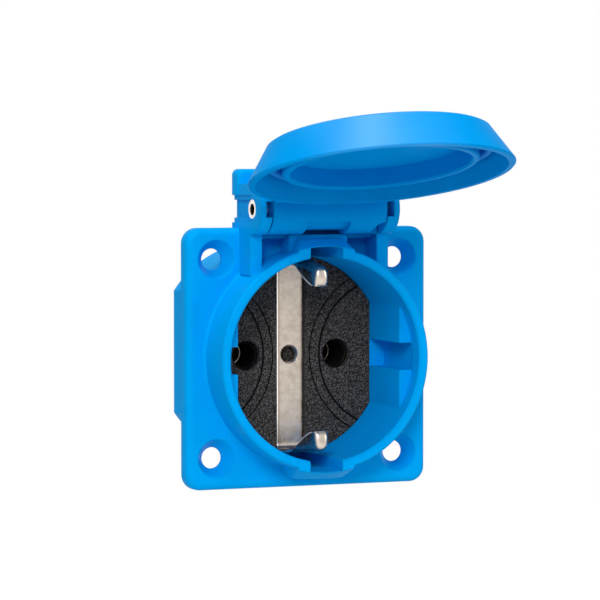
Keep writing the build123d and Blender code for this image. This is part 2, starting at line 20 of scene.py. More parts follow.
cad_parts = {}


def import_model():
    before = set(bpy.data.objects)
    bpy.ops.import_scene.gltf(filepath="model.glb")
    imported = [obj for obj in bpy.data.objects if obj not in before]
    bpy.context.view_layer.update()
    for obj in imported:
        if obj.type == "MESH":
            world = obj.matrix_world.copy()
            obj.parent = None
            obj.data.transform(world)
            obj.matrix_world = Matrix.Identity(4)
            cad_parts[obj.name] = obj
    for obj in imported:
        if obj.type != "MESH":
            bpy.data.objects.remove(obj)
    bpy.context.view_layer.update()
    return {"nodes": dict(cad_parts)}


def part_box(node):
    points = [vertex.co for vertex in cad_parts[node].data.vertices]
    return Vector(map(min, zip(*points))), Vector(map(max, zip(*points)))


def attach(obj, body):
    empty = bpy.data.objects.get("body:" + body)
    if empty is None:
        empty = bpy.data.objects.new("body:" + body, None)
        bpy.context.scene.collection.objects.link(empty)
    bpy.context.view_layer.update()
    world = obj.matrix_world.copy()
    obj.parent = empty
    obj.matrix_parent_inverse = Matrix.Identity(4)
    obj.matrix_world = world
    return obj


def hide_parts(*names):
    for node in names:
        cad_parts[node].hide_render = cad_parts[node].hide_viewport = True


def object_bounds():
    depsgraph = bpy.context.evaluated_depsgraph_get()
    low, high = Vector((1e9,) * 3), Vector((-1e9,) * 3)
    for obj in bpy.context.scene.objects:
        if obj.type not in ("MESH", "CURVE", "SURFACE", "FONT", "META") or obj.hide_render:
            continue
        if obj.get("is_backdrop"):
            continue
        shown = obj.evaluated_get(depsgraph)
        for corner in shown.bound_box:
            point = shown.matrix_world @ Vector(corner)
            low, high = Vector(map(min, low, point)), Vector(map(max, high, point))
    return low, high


LOG = logging.getLogger("socket")
MM = 0.001
HINGE_DEPTH = -9.4 * MM
HINGE_HEIGHT = 28.6 * MM
BEVEL_SAMPLES = 6
SHARP_ANGLE = math.radians(38)
JOIN_DIGITS = 7

Colour = tuple[float, float, float]
Point = tuple[float, float, float]
WHITE: Colour = (1.0, 1.0, 1.0)


def seen(red: int, green: int, blue: int) -> Colour:
    """Linear colour of a colour given as it looks on a screen, by the sRGB curve.

    Args:
        red: Red from 0 to 255.
        green: Green from 0 to 255.
        blue: Blue from 0 to 255.

    Returns:
        The three linear shares.
    """
    shares = (value / 255 for value in (red, green, blue))
    linear = (s / 12.92 if s <= 0.04045 else ((s + 0.055) / 1.055) ** 2.4 for s in shares)
    return tuple(linear)  # type: ignore[return-value]


class Body(Enum):
    """Body of the model that the added pieces ride on."""

    SOCKET = "socket"


class Slot(Enum):
    """Material slots of the record."""

    BLUE = "blue_plastic"
    BLACK = "black_plastic"
    SEAL = "seal"
    STRIP = "nickel_strip"
    PIN = "pin_steel"
    SPRING = "spring_steel"
    BRASS = "brass"
    SCREW = "screw_steel"


class Variant(Enum):
    """Finishes that differ a little from that of their slot."""

    LID = "blue plastic of the lid"
    FACE = "black plastic with engraved arcs"
    # Black lining in the pin holes, painted darker than the face plastic as shade.
    SHADED_HOLE = "black plastic in the pin holes"
    # Brass darkened to near black inside the sleeves, as painted shade.
    DEEP_SHADE = "tarnished brass inside the sleeves"
    # Near-white finish of the burr beads, a painted glint.
    BURR_GLINT = "rough bright edge of the strip"


# Shader maths


class Signal:
    """One output of a material's nodes, with arithmetic that adds Math nodes."""

    def __init__(self, coat: Shading, socket: bpy.types.NodeSocket) -> None:
        """Keep the nodes and the socket.

        Args:
            coat: Nodes that the socket belongs to.
            socket: Output socket that carries the value.
        """
        self.coat = coat
        self.socket = socket

    def out(self, name: str) -> Signal:
        """Another output of the same node, by its name."""
        return Signal(self.coat, self.socket.node.outputs[name])

    def _math(self, operation: str, first: Value, second: Value) -> Signal:
        """A Math node of two values."""
        return self.coat.node("ShaderNodeMath", {"operation": operation}, {0: first, 1: second})

    def __add__(self, other: Value) -> Signal:
        """Sum."""
        return self._math("ADD", self, other)

    __radd__ = __add__

    def __sub__(self, other: Value) -> Signal:
        """Difference."""
        return self._math("SUBTRACT", self, other)

    def __rsub__(self, other: Value) -> Signal:
        """Difference with the value on the right."""
        return self._math("SUBTRACT", other, self)

    def __mul__(self, other: Value) -> Signal:
        """Product."""
        return self._math("MULTIPLY", self, other)

    __rmul__ = __mul__

    def __pow__(self, other: Value) -> Signal:
        """Power."""
        return self._math("POWER", self, other)

    def __abs__(self) -> Signal:
        """Size without the sign."""
        return self._math("ABSOLUTE", self, 0.0)

    def over(self, low: float, high: float) -> Signal:
        """Share from 0 at low to 1 at high, held at both ends.

        Args:
            low: Value that gives 0.
            high: Value that gives 1.

        Returns:
            The share, smoothed at both ends.
        """
        return self.coat.node(
            "ShaderNodeMapRange",
            {"interpolation_type": "SMOOTHSTEP"},
            {"Value": self, "From Min": low, "From Max": high},
        )


Value = Union[Signal, float, int]


class Shading:
    """Nodes of a material or of the world, with one method that adds any node."""

    def __init__(self, owner: Union[bpy.types.Material, bpy.types.World]) -> None:
        """Empty the owner's nodes.

        Args:
            owner: Material or world that the nodes are for.
        """
        owner.use_nodes = True
        self.owner = owner
        self.tree = owner.node_tree
        self.tree.nodes.clear()

    def node(
        self,
        kind: str,
        settings: Mapping[str, Any] | None = None,
        sockets: Mapping[Any, Any] | None = None,
    ) -> Signal:
        """Add a node, set it up and feed its sockets.

        Args:
            kind: Type of the node.
            settings: Attributes that are set first.
            sockets: Values or signals for inputs, by name or by number.

        Returns:
            The node's first output in use, or its first input if it has none.
        """
        made = self.tree.nodes.new(kind)
        for name, value in (settings or {}).items():
            setattr(made, name, value)
        for key, value in (sockets or {}).items():
            socket = self._input(made, key)
            if isinstance(value, Signal):
                self.tree.links.new(value.socket, socket)
            elif isinstance(value, tuple) and len(value) == 3 and socket.type == "RGBA":
                socket.default_value = (*value, 1.0)
            else:
                socket.default_value = value
        in_use = [socket for socket in made.outputs if socket.enabled]
        return Signal(self, in_use[0]) if in_use else Signal(self, made.inputs[0])

    @staticmethod
    def _input(made: bpy.types.Node, key: Any) -> bpy.types.NodeSocket:
        """The node's input in use that has this name or number."""
        if isinstance(key, int):
            return made.inputs[key]
        return next(socket for socket in made.inputs if socket.enabled and socket.name == key)

    def unseen(self) -> Signal:
        """0 for what the camera, a gloss or a glass sees, and 1 for all else."""
        path = self.node("ShaderNodeLightPath")
        shown = path + path.out("Is Glossy Ray") + path.out("Is Transmission Ray")
        return 1 - shown.over(0, 1)


class Coat(Shading):
    """A material under construction."""

    def __init__(self, name: str) -> None:
        """Start an empty material with this name."""
        super().__init__(bpy.data.materials.new(name))

    def place(self, stretch: Point = (1.0, 1.0, 1.0)) -> Signal:
        """Object coordinates, with each axis stretched by its own factor."""
        coordinates = self.node("ShaderNodeTexCoord").out("Object")
        return self.node("ShaderNodeMapping", None, {"Vector": coordinates, "Scale": stretch})

    def axes(self) -> tuple[Signal, Signal, Signal]:
        """Object coordinates X, Y and Z, each as its own signal."""
        split = self.node("ShaderNodeSeparateXYZ", None, {"Vector": self.place()})
        return split.out("X"), split.out("Y"), split.out("Z")

    def noise(self, grain: float, detail: float = 2.0, stretch: Point = (1, 1, 1)) -> Signal:
        """Noise of about 0.5 whose blotches are a given size.

        Args:
            grain: Size of a blotch in metres.
            detail: Number of finer layers.
            stretch: Factor on each axis before the noise is read.

        Returns:
            The noise value.
        """
        return self.node(
            "ShaderNodeTexNoise",
            None,
            {"Vector": self.place(stretch), "Scale": 1.0 / grain, "Detail": detail},
        )

    def mix(self, share: Value, first: Any, second: Any) -> Signal:
        """Colour between two colours, each a colour or a signal."""
        return self.node(
            "ShaderNodeMix",
            {"data_type": "RGBA"},
            {"Factor": share, "A": first, "B": second},
        )

    def soft_edges(self, radius: float) -> Signal:
        """Normal that rounds sharp edges off over a radius in metres."""
        return self.node("ShaderNodeBevel", {"samples": BEVEL_SAMPLES}, {"Radius": radius})

    def bump(self, height: Signal, depth: float, normal: Signal) -> Signal:
        """Normal of a surface that the height raises by up to a depth.

        Args:
            height: Height as a share from 0 to 1.
            depth: Height of 1, in metres.
            normal: Normal that the relief lies on.

        Returns:
            The changed normal.
        """
        return self.node(
            "ShaderNodeBump",
            None,
            {"Height": height, "Distance": depth, "Strength": 1.0, "Normal": normal},
        )

    def finish(self, **sockets: Any) -> bpy.types.Material:
        """Close the material with a Principled shader.

        Args:
            **sockets: Inputs of the shader, with underscores for spaces.

        Returns:
            The finished material.
        """
        named = {name.replace("_", " "): value for name, value in sockets.items()}
        shader = self.node("ShaderNodeBsdfPrincipled", None, named)
        self.node("ShaderNodeOutputMaterial", None, {"Surface": shader})
        return self.owner


# Finishes


@dataclass(frozen=True)
class MouldedPlastic:
    """Spark-textured moulded plastic with softly rounded edges."""

    name: str
    colour: Colour
    deep_colour: Colour
    roughness: float = 0.36
    roughness_swing: float = 0.06
    gloss_level: float = 0.06
    coat_roughness: float = 0.45
    blotch: float = 7.0 * MM
    blotch_range: tuple[float, float] = (0.3, 0.7)
    grain: float = 0.22 * MM
    grain_depth: float = 0.006 * MM
    edge_radius: float = 0.4 * MM

    def sheen(self, coat: Coat) -> Value:
        """Weight of a glossy skin on the plastic."""
        return 0.0

    def make(self) -> bpy.types.Material:
        """Mottle the colour a little, then lay the grain over rounded edges."""
        coat = Coat(self.name)
        cloud = coat.noise(self.blotch, detail=3.0)
        grain = coat.noise(self.grain)
        colour = coat.mix(cloud.over(*self.blotch_range), self.deep_colour, self.colour)
        normal = coat.bump(grain, self.grain_depth, coat.soft_edges(self.edge_radius))
        return coat.finish(
            Base_Color=colour,
            Roughness=self.roughness + (grain - 0.5) * self.roughness_swing,
            Specular_IOR_Level=self.gloss_level,
            Coat_Weight=self.sheen(coat),
            Coat_Roughness=self.coat_roughness,
            Normal=normal,
        )


@dataclass(frozen=True)
class PolishedLid(MouldedPlastic):
    """Moulded plastic with a polished stretch on the lid's outer wall."""

    lean: float = math.radians(13.4)
    wall: tuple[float, float] = (23.6 * MM, 24.1 * MM)
    wall_slope: float = 4.2 / 7.2
    top_fade: float = 6 * MM
    polish: float = 0.6
    starts: tuple[float, float] = (-22 * MM, -15 * MM)
    ends: tuple[float, float] = (-4 * MM, 9 * MM)

    def sheen(self, coat: Coat) -> Value:
        """Weight that is full on the outer wall between the two bounds of X.

        With r the distance from the lid's axis and h the height along it from
        the hinge, the weight rises where r + slope * h is between the wall's
        two values, and fades in over the half that points away from the hinge.
        """
        across, depth, height = coat.axes()
        depth, height = depth - HINGE_DEPTH, height - HINGE_HEIGHT
        lift = depth * math.sin(self.lean) + height * math.cos(self.lean)
        along = height * math.sin(self.lean) - depth * math.cos(self.lean) - HINGE_HEIGHT
        reach = (across**2 + along**2) ** 0.5 + lift * self.wall_slope
        wall = reach.over(*self.wall) * along.over(0.0, self.top_fade)
        return wall * across.over(*self.starts) * (1 - across.over(*self.ends)) * self.polish


@dataclass(frozen=True)
class GrainedPlastic:
    """Black thermoset with a fine sparkling grain."""

    name: str
    dark: Colour = seen(35, 33, 31)
    light: Colour = seen(98, 93, 88)
    roughness: float = 0.6
    gloss_level: float = 0.05
    grain: float = 0.25 * MM
    coarse_grain: float = 0.6 * MM
    fine_share: float = 0.75
    contrast: tuple[float, float] = (0.45, 0.6)
    grain_depth: float = 0.03 * MM
    edge_radius: float = 0.08 * MM

    def tint(self, coat: Coat, speckle: Signal) -> Signal:
        """Colour of the grain."""
        return coat.mix(speckle.over(*self.contrast), self.dark, self.light)

    def make(self) -> bpy.types.Material:
        """Speckle the colour and the relief with one grain."""
        coat = Coat(self.name)
        fine = coat.noise(self.grain) * self.fine_share
        speckle = fine + coat.noise(self.coarse_grain) * (1 - self.fine_share)
        normal = coat.bump(speckle, self.grain_depth, coat.soft_edges(self.edge_radius))
        return coat.finish(
            Base_Color=self.tint(coat, speckle),
            Roughness=self.roughness,
            Specular_IOR_Level=self.gloss_level,
            Normal=normal,
        )


@dataclass(frozen=True)
class EngravedFace(GrainedPlastic):
    """Grained plastic with painted shade along its engraved arcs."""

    arc_offset: float = 20.5 * MM
    arcs: tuple[tuple[float, float], ...] = ((14.6 * MM, 0.17 * MM), (16.6 * MM, 0.11 * MM))
    arc_softness: float = 0.08 * MM
    # Black painted shade along the arcs' grooves.
    groove_shade: Colour = seen(0, 0, 0)

    def tint(self, coat: Coat, speckle: Signal) -> Signal:
        """Grain colour, with black painted shade within the half width of an arc."""
        plain = super().tint(coat, speckle)
        across, _, height = coat.axes()
        reach = ((self.arc_offset - abs(across)) ** 2 + height**2) ** 0.5
        clear: Value = 1.0
        for radius, half_width in self.arcs:
            inner, outer = half_width - self.arc_softness / 2, half_width + self.arc_softness
            clear = clear * abs(reach - radius).over(inner, outer)
        return coat.mix(clear, self.groove_shade, plain)


@dataclass(frozen=True)
class WorkedMetal:
    """Metal that was rolled, drawn or turned, with marks along one direction."""

    name: str
    bright: Colour
    dull: Colour
    roughness: float = 0.3
    roughness_swing: float = 0.25
    stain: float = 1.6 * MM
    stain_range: tuple[float, float] = (0.35, 0.65)
    stain_share: float = 0.7
    mark: float = 0.16 * MM
    mark_range: tuple[float, float] = (0.3, 0.7)
    mark_depth: float = 0.003 * MM
    stretch: Point = (1.0, 1.0, 1.0)
    edge_radius: float = 0.07 * MM

    def tint(self, coat: Coat, share: Signal) -> Signal:
        """Colour between the dull and the bright metal."""
        return coat.mix(share, self.dull, self.bright)

    def make(self) -> bpy.types.Material:
        """Stain the colour, and let the marks change both gloss and relief."""
        coat = Coat(self.name)
        stain = coat.noise(self.stain, detail=4.0)
        marks = coat.noise(self.mark, detail=3.0, stretch=self.stretch)
        stained = stain.over(*self.stain_range) * self.stain_share
        share = stained + marks.over(*self.mark_range) * (1 - self.stain_share)
        normal = coat.bump(marks, self.mark_depth, coat.soft_edges(self.edge_radius))
        return coat.finish(
            Base_Color=self.tint(coat, share),
            Metallic=1.0,
            Roughness=self.roughness + (stain - 0.5) * self.roughness_swing,
            Normal=normal,
        )


@dataclass(frozen=True)
class SlitStrip(WorkedMetal):
    """Rolled strip with a painted highlight along its left slit edge."""

    half_width: float = 2.825 * MM
    highlight_width: float = 0.46 * MM
    highlight_fade: float = 0.1 * MM
    # Colour of the painted highlight along the strip's left edge.
    edge: Colour = seen(255, 252, 246)
    seam: Colour = seen(158, 136, 118)
    seam_width: float = 0.2 * MM

    def tint(self, coat: Coat, share: Signal) -> Signal:
        """Metal colour, with a painted highlight along the left edge and a brown seam beside it.
        """
        inward = coat.axes()[0] + self.half_width
        seam = self.highlight_width + self.seam_width
        past_seam = inward.over(seam, seam + self.seam_width)
        brown = coat.mix(past_seam, self.seam, super().tint(coat, share))
        past_highlight = inward.over(self.highlight_width, self.highlight_width + self.highlight_fade)
        return coat.mix(past_highlight, self.edge, brown)


@dataclass(frozen=True)
class DrawnTube(WorkedMetal):
    """Drawn tube with a bright end and painted shade in its bore."""

    unshaded_radius: float = 1.2 * MM
    shade_radius: float = 1.0 * MM
    # Near-black colour painted inside the bore as shade.
    bore_shade: Colour = seen(26, 22, 20)

    def tint(self, coat: Coat, share: Signal) -> Signal:
        """Metal colour, darkened to near black inside the bore's radius round the tube's axis as
        painted shade.
        """
        _, depth, height = coat.axes()
        reach = ((depth - HINGE_DEPTH) ** 2 + (height - HINGE_HEIGHT) ** 2) ** 0.5
        unshaded = reach.over(self.shade_radius, self.unshaded_radius)
        return coat.mix(unshaded, self.bore_shade, super().tint(coat, share))


BLUE_PLASTIC = MouldedPlastic(
    "moulded blue", seen(0, 160, 236), seen(0, 156, 232), gloss_level=0.008
)
SEAL_RUBBER = MouldedPlastic(
    "soft blue rubber", seen(20, 140, 222), seen(10, 132, 214), roughness=0.6, gloss_level=0.15
)
# The lid takes a slightly darker copy of the housing's blue, as painted shade.
LID_SHADED_PLASTIC = PolishedLid(
    "moulded blue lid",
    seen(0, 151, 229),
    seen(0, 147, 225),
    gloss_level=0.004,
    edge_radius=0.14 * MM,
)
BLACK_PLASTIC = GrainedPlastic("grained black")
FACE_PLASTIC = EngravedFace("grained black face")
# Black plastic lining, painted near black as shade inside the pin holes.
HOLE_SHADE_PLASTIC = GrainedPlastic(
    "smooth black lining",
    seen(13, 12, 12),
    seen(20, 19, 18),
    roughness=0.35,
    grain_depth=0.004 * MM,
)
STRIP_METAL = SlitStrip(
    "rolled nickel strip", seen(203, 192, 179), seen(178, 166, 152), stretch=(1.0, 1.0, 0.3)
)
PIN_METAL = DrawnTube(
    "drawn steel tube",
    seen(255, 250, 244),
    seen(232, 224, 214),
    roughness=0.18,
    stretch=(0.2, 1.0, 1.0),
)
# Near-white colour of the burr beads on the strip's left edges: a painted glint.
BURR_GLINT_PAINT = GrainedPlastic("rough bright metal", seen(225, 214, 198), seen(255, 248, 236))
# Near-black brass for the sleeves deep in the holes: painted shade.
SHADED_BRASS = WorkedMetal(
    "tarnished brass", seen(44, 34, 24), seen(28, 22, 16), roughness=0.5, stretch=(1.0, 0.4, 1.0)
)
BRASS = WorkedMetal(
    "turned brass", seen(212, 176, 104), seen(176, 138, 76), roughness=0.3, stretch=(1.0, 0.4, 1.0)
)
SPRING_METAL = WorkedMetal(
    "dull spring steel", seen(150, 150, 152), seen(104, 104, 108), roughness=0.4
)
SCREW_METAL = WorkedMetal(
    "zinc plated screw", seen(206, 204, 196), seen(160, 158, 152), roughness=0.28
)


# Surfaces


def ring_points(profile: np.ndarray, centre: Point, axis: Point, count: int) -> np.ndarray:
    """Surface of revolution of a profile.

    A profile point (r, h) goes to centre + h along the axis + r times the unit
    vector that turns once round the axis, so the grid has one row for each
    profile point and one column for each angle.

    Args:
        profile: Array of (radius, height) rows.
        centre: Point on the axis at height 0.
        axis: Direction of the axis.
        count: Number of angles.

    Returns:
        Array of points, profile points by angles by 3.
    """
    along = np.array(axis, float) / np.linalg.norm(axis)
    across = np.cross(along, (1.0, 0.0, 0.0) if abs(along[0]) < 0.9 else (0.0, 1.0, 0.0))
    across /= np.linalg.norm(across)
    aside = np.cross(along, across)
    angle = np.linspace(0, 2 * math.pi, count, endpoint=False)
    spoke = np.cos(angle)[:, None] * across + np.sin(angle)[:, None] * aside
    radius, height = profile[:, 0], profile[:, 1]
    return np.array(centre) + height[:, None, None] * along + radius[:, None, None] * spoke


def rounded_outline(corners: np.ndarray, radius: np.ndarray, steps: int) -> np.ndarray:
    """Closed outline with each corner rounded.

    A corner P between its neighbours is replaced by a curve from P + t to
    P + u, where t and u point to the neighbours with the corner's radius as
    their length. The curve is the quadratic (1 - s)^2 (P + t) + 2 s (1 - s) P
    + s^2 (P + u) for s from 0 to 1.

    Args:
        corners: Array of corner rows.
        radius: Length that each corner takes from its two sides.
        steps: Points on each corner.

    Returns:
        Array of outline rows.
    """
    back = np.roll(corners, 1, axis=0) - corners
    ahead = np.roll(corners, -1, axis=0) - corners
    back *= (radius / np.linalg.norm(back, axis=1))[:, None]
    ahead *= (radius / np.linalg.norm(ahead, axis=1))[:, None]
    s = np.linspace(0, 1, steps)[None, :, None]
    start, middle, end = ((corners + v)[:, None, :] for v in (back, 0 * back, ahead))
    curve = (1 - s) ** 2 * start + 2 * s * (1 - s) * middle + s**2 * end
    return curve.reshape(-1, corners.shape[1])


def spline(controls: np.ndarray, steps: int) -> np.ndarray:
    """Quadratic spline along the first axis of an array of control points.

    Three controls P, Q and R in a row give the piece
    ((1 - s)^2 P + (1 + 2 s - 2 s^2) Q + s^2 R) / 2 for s from 0 to 1. The end
    controls count twice, so the curve starts and ends on them.

    Args:
        controls: Array of control points, along its first axis.
        steps: Points on each piece.

    Returns:
        Array of points along the first axis.
    """
    net = np.concatenate([controls[:1], controls, controls[-1:]])
    s = np.linspace(0, 1, steps, endpoint=False).reshape(1, -1, *[1] * (net.ndim - 1))
    before, here, after = (part[:, None] for part in (net[:-2], net[1:-1], net[2:]))
    pieces = ((1 - s) ** 2 * before + (1 + 2 * s - 2 * s**2) * here + s**2 * after) / 2
    return np.concatenate([pieces.reshape(-1, *net.shape[1:]), net[-1:]])


def grid_faces(rows: int, columns: int, closed_rows: bool, closed_columns: bool) -> np.ndarray:
    """Quads of a grid of points.

    The quad at row i and column j joins points (i, j), (i, j + 1),
    (i + 1, j + 1) and (i + 1, j), where the last row or column joins the
    first if the grid is closed that way.

    Args:
        rows: Number of rows.
        columns: Number of columns.
        closed_rows: Whether the last row joins the first.
        closed_columns: Whether the last column joins the first.

    Returns:
        Array of quads as point numbers.
    """
    i = np.arange(rows if closed_rows else rows - 1)
    j = np.arange(columns if closed_columns else columns - 1)
    i, j = (a.ravel() for a in np.meshgrid(i, j, indexing="ij"))
    below, beside = (i + 1) % rows, (j + 1) % columns
    return np.stack(
        [i * columns + j, i * columns + beside, below * columns + beside, below * columns + j], 1
    )


def outward(points: np.ndarray, quads: np.ndarray) -> np.ndarray:
    """Turn the quads of a closed surface so that they face outwards.

    The sum over the quads of a . (b x c) + a . (c x d) is six times the volume
    that the surface holds, and it is negative where the quads face inwards.

    Args:
        points: Array of points.
        quads: Array of quads.

    Returns:
        The quads, reversed if they faced inwards.
    """
    a, b, c, d = (points[quads[:, k]] for k in range(4))
    volume = np.einsum("ij,ij->i", a, np.cross(b, c) + np.cross(c, d)).sum()
    return quads if volume > 0 else quads[:, ::-1]


def add_surface(name: str, points: np.ndarray, quads: np.ndarray) -> bpy.types.Object:
    """Make a smooth mesh object from points and quads.

    Args:
        name: Name of the piece.
        points: Array of points.
        quads: Array of quads.

    Returns:
        The new object, at the origin.
    """
    mesh = bpy.data.meshes.new(name)
    mesh.vertices.add(len(points))
    mesh.vertices.foreach_set("co", points.astype(np.float32).ravel())
    mesh.loops.add(quads.size)
    mesh.loops.foreach_set("vertex_index", quads.astype(np.int32).ravel())
    mesh.polygons.add(len(quads))
    mesh.polygons.foreach_set("loop_start", np.arange(0, quads.size, 4, dtype=np.int32))
    mesh.polygons.foreach_set("loop_total", np.full(len(quads), 4, np.int32))
    mesh.polygons.foreach_set("use_smooth", np.ones(len(quads), bool))
    mesh.update(calc_edges=True)
    mesh.validate()
    piece = bpy.data.objects.new(name, mesh)
    bpy.context.scene.collection.objects.link(piece)
    return piece


def turned(
    name: str, profile: np.ndarray, centre: Point, axis: Point, sides: int
) -> bpy.types.Object:
    """Make a closed piece by turning a closed profile round an axis.

    Args:
        name: Name of the piece.
        profile: Array of (radius, height) rows, where the last joins the first.
        centre: Point on the axis at height 0.
        axis: Direction of the axis.
        sides: Number of angles.

    Returns:
        The new object.
    """
    points = ring_points(profile, centre, axis, sides).reshape(-1, 3)
    quads = grid_faces(len(profile), sides, True, True)
    return add_surface(name, points, outward(points, quads))


def settle(piece: bpy.types.Object) -> None:
    """Replace a piece's mesh by what its modifiers make of it, with sharp edges kept."""
    shaped = piece.evaluated_get(bpy.context.evaluated_depsgraph_get())
    mesh = bpy.data.meshes.new_from_object(shaped)
    piece.modifiers.clear()
    piece.data = mesh
    mesh.polygons.foreach_set("use_smooth", np.ones(len(mesh.polygons), bool))
    mesh.set_sharp_from_angle(angle=SHARP_ANGLE)


# Assemblies


@dataclass
class Assembly:
    """What the sub-assemblies share: the frame's nodes and the made finishes."""

    nodes: Mapping[str, bpy.types.Object]
    finishes: Mapping[Union[Slot, Variant], bpy.types.Material]

    def dress_nodes(self, names: Iterable[str], slot: Slot, finish: Variant | None = None) -> None:
        """Give nodes of the frame a finish.

        Args:
            names: Names of the nodes.
            slot: Slot whose finish they take.
            finish: Variant of the slot's finish that is used instead.
        """
        for name in names:
            node = self.nodes[name]
            node.data.materials.clear()
            node.data.materials.append(self.finishes[finish or slot])
            LOG.info("%s takes %s", name, slot.value)

    def add(
        self,
        piece: bpy.types.Object,
        body: Body,
        slot: Slot,
        *stands_for: str,
        finish: Variant | None = None,
    ) -> None:
        """Dress a new piece and let it ride on its body.

        Args:
            piece: The new object.
            body: Body that it moves with.
            slot: Slot whose finish it takes.
            *stands_for: Nodes of the frame that it is shown instead of.
            finish: Variant of the slot's finish that is used instead.
        """
        piece.data.materials.append(self.finishes[finish or slot])
        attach(piece, body.value)
        if stands_for:
            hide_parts(*stands_for)
        LOG.info("%s rides on %s", piece.name, body.value)


@dataclass
class Shell(Assembly):
    """The blue housing and the lid."""

    def build(self) -> None:
        """Dress the two mouldings."""
        self.dress_nodes(("housing",), Slot.BLUE)
        self.dress_nodes(("lid",), Slot.BLUE, Variant.LID)


@dataclass
class Hinge(Assembly):
    """The hollow pin that the lid turns on."""

    outer_radius: float = 2.0 * MM
    bore_radius: float = 0.9 * MM
    proud: float = 0.22 * MM
    rim_rounding: float = 0.42 * MM
    mouth_rounding: float = 0.5 * MM
    sides: int = 96
    corner_steps: int = 9

    def build(self) -> None:
        """Turn the tube with rolled rims, a little proud of the ears at both ends."""
        low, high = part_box("hinge_pin")
        centre = (low + high) / 2
        half = (high.x - low.x) / 2 + self.proud
        section = np.array(
            [
                (self.bore_radius, -half),
                (self.outer_radius, -half),
                (self.outer_radius, half),
                (self.bore_radius, half),
            ]
        )
        mouth, rim = self.mouth_rounding, self.rim_rounding
        profile = rounded_outline(section, np.array([mouth, rim, rim, mouth]), self.corner_steps)
        pin = turned("hinge_tube", profile, tuple(centre), (1, 0, 0), self.sides)
        self.add(pin, Body.SOCKET, Slot.PIN, "hinge_pin")


@dataclass
class Cover(Assembly):
    """The soft seal in the lid."""

    def build(self) -> None:
        """Dress the seal."""
        self.dress_nodes(("lid_seal",), Slot.SEAL)


@dataclass
class SocketFace(Assembly):
    """The black face, and the lined holes that lead to the sleeves behind it."""

    contact_x: float = 9.5 * MM
    lining_front: float = 6.6 * MM
    lining_length: float = 7.6 * MM
    lining_radius: float = 2.42 * MM
    collar_radius: float = 2.87 * MM
    collar_thickness: float = 0.09 * MM
    rib_pitch: float = 0.95 * MM
    rib_height: float = 0.2 * MM
    wall: float = 0.02 * MM
    grip_thickness: float = 0.24 * MM
    sides: int = 72
    grip_sides: int = 12
    steps_per_rib: int = 8

    def build(self) -> None:
        """Dress the nodes and line each hole."""
        self.dress_nodes(("socket_insert",), Slot.BLACK, Variant.FACE)
        self.dress_nodes(("contact_carrier", "terminal_frame"), Slot.BLACK)
        # The sleeves' near-black brass is painted shade deep in the holes.
        self.dress_nodes(("contact_left", "contact_right"), Slot.BRASS, Variant.DEEP_SHADE)
        self.dress_nodes(("earth_tail",), Slot.BRASS)
        for side, x in (("left", -self.contact_x), ("right", self.contact_x)):
            lining = self.lining(f"hole_lining_{side}", x)
            # The lining's near-black finish is painted shade in the hole.
            self.add(lining, Body.SOCKET, Slot.BLACK, finish=Variant.SHADED_HOLE)
            # The strip's finish paints the left ring with its painted highlight colour.
            self.add(self.grip(f"grip_ring_{side}", x), Body.SOCKET, Slot.STRIP)

    def lining(self, name: str, x: float) -> bpy.types.Object:
        """Ribbed lining of one hole, with a thin collar in front of the sleeve.

        The inner radius at depth y is the lining's radius less half the rib's
        height times 1 - cos(2 pi y / pitch), and the outer radius is the
        lining's radius plus the wall.

        Args:
            name: Name of the piece.
            x: Place of the hole's axis.

        Returns:
            The new object.
        """
        count = round(self.lining_length / self.rib_pitch * self.steps_per_rib)
        depth = np.linspace(0, self.lining_length, count)
        wave = 1 - np.cos(2 * math.pi * depth / self.rib_pitch)
        inner = np.stack([self.lining_radius - self.rib_height / 2 * wave, depth], 1)
        outer_radius = self.lining_radius + self.wall
        back = np.array(
            [
                (outer_radius, self.lining_length),
                (outer_radius, self.collar_thickness),
                (self.collar_radius, self.collar_thickness),
                (self.collar_radius, 0),
            ]
        )
        profile = np.concatenate([inner, back])
        return turned(name, profile, (x, self.lining_front, 0), (0, 1, 0), self.sides)

    def grip(self, name: str, x: float) -> bpy.types.Object:
        """Thin metal ring at the rear end of a lining, by its hole's axis. The strip's finish
        paints the whole left ring in its highlight colour, a painted highlight.
        """
        half = self.grip_thickness / 2
        angle = np.linspace(0, 2 * math.pi, self.grip_sides, endpoint=False)
        radius = self.lining_radius - half + np.cos(angle) * half
        profile = np.stack([radius, np.sin(angle) * half], 1)
        centre = (x, self.lining_front + self.lining_length + half, 0)
        return turned(name, profile, centre, (0, 1, 0), self.sides)


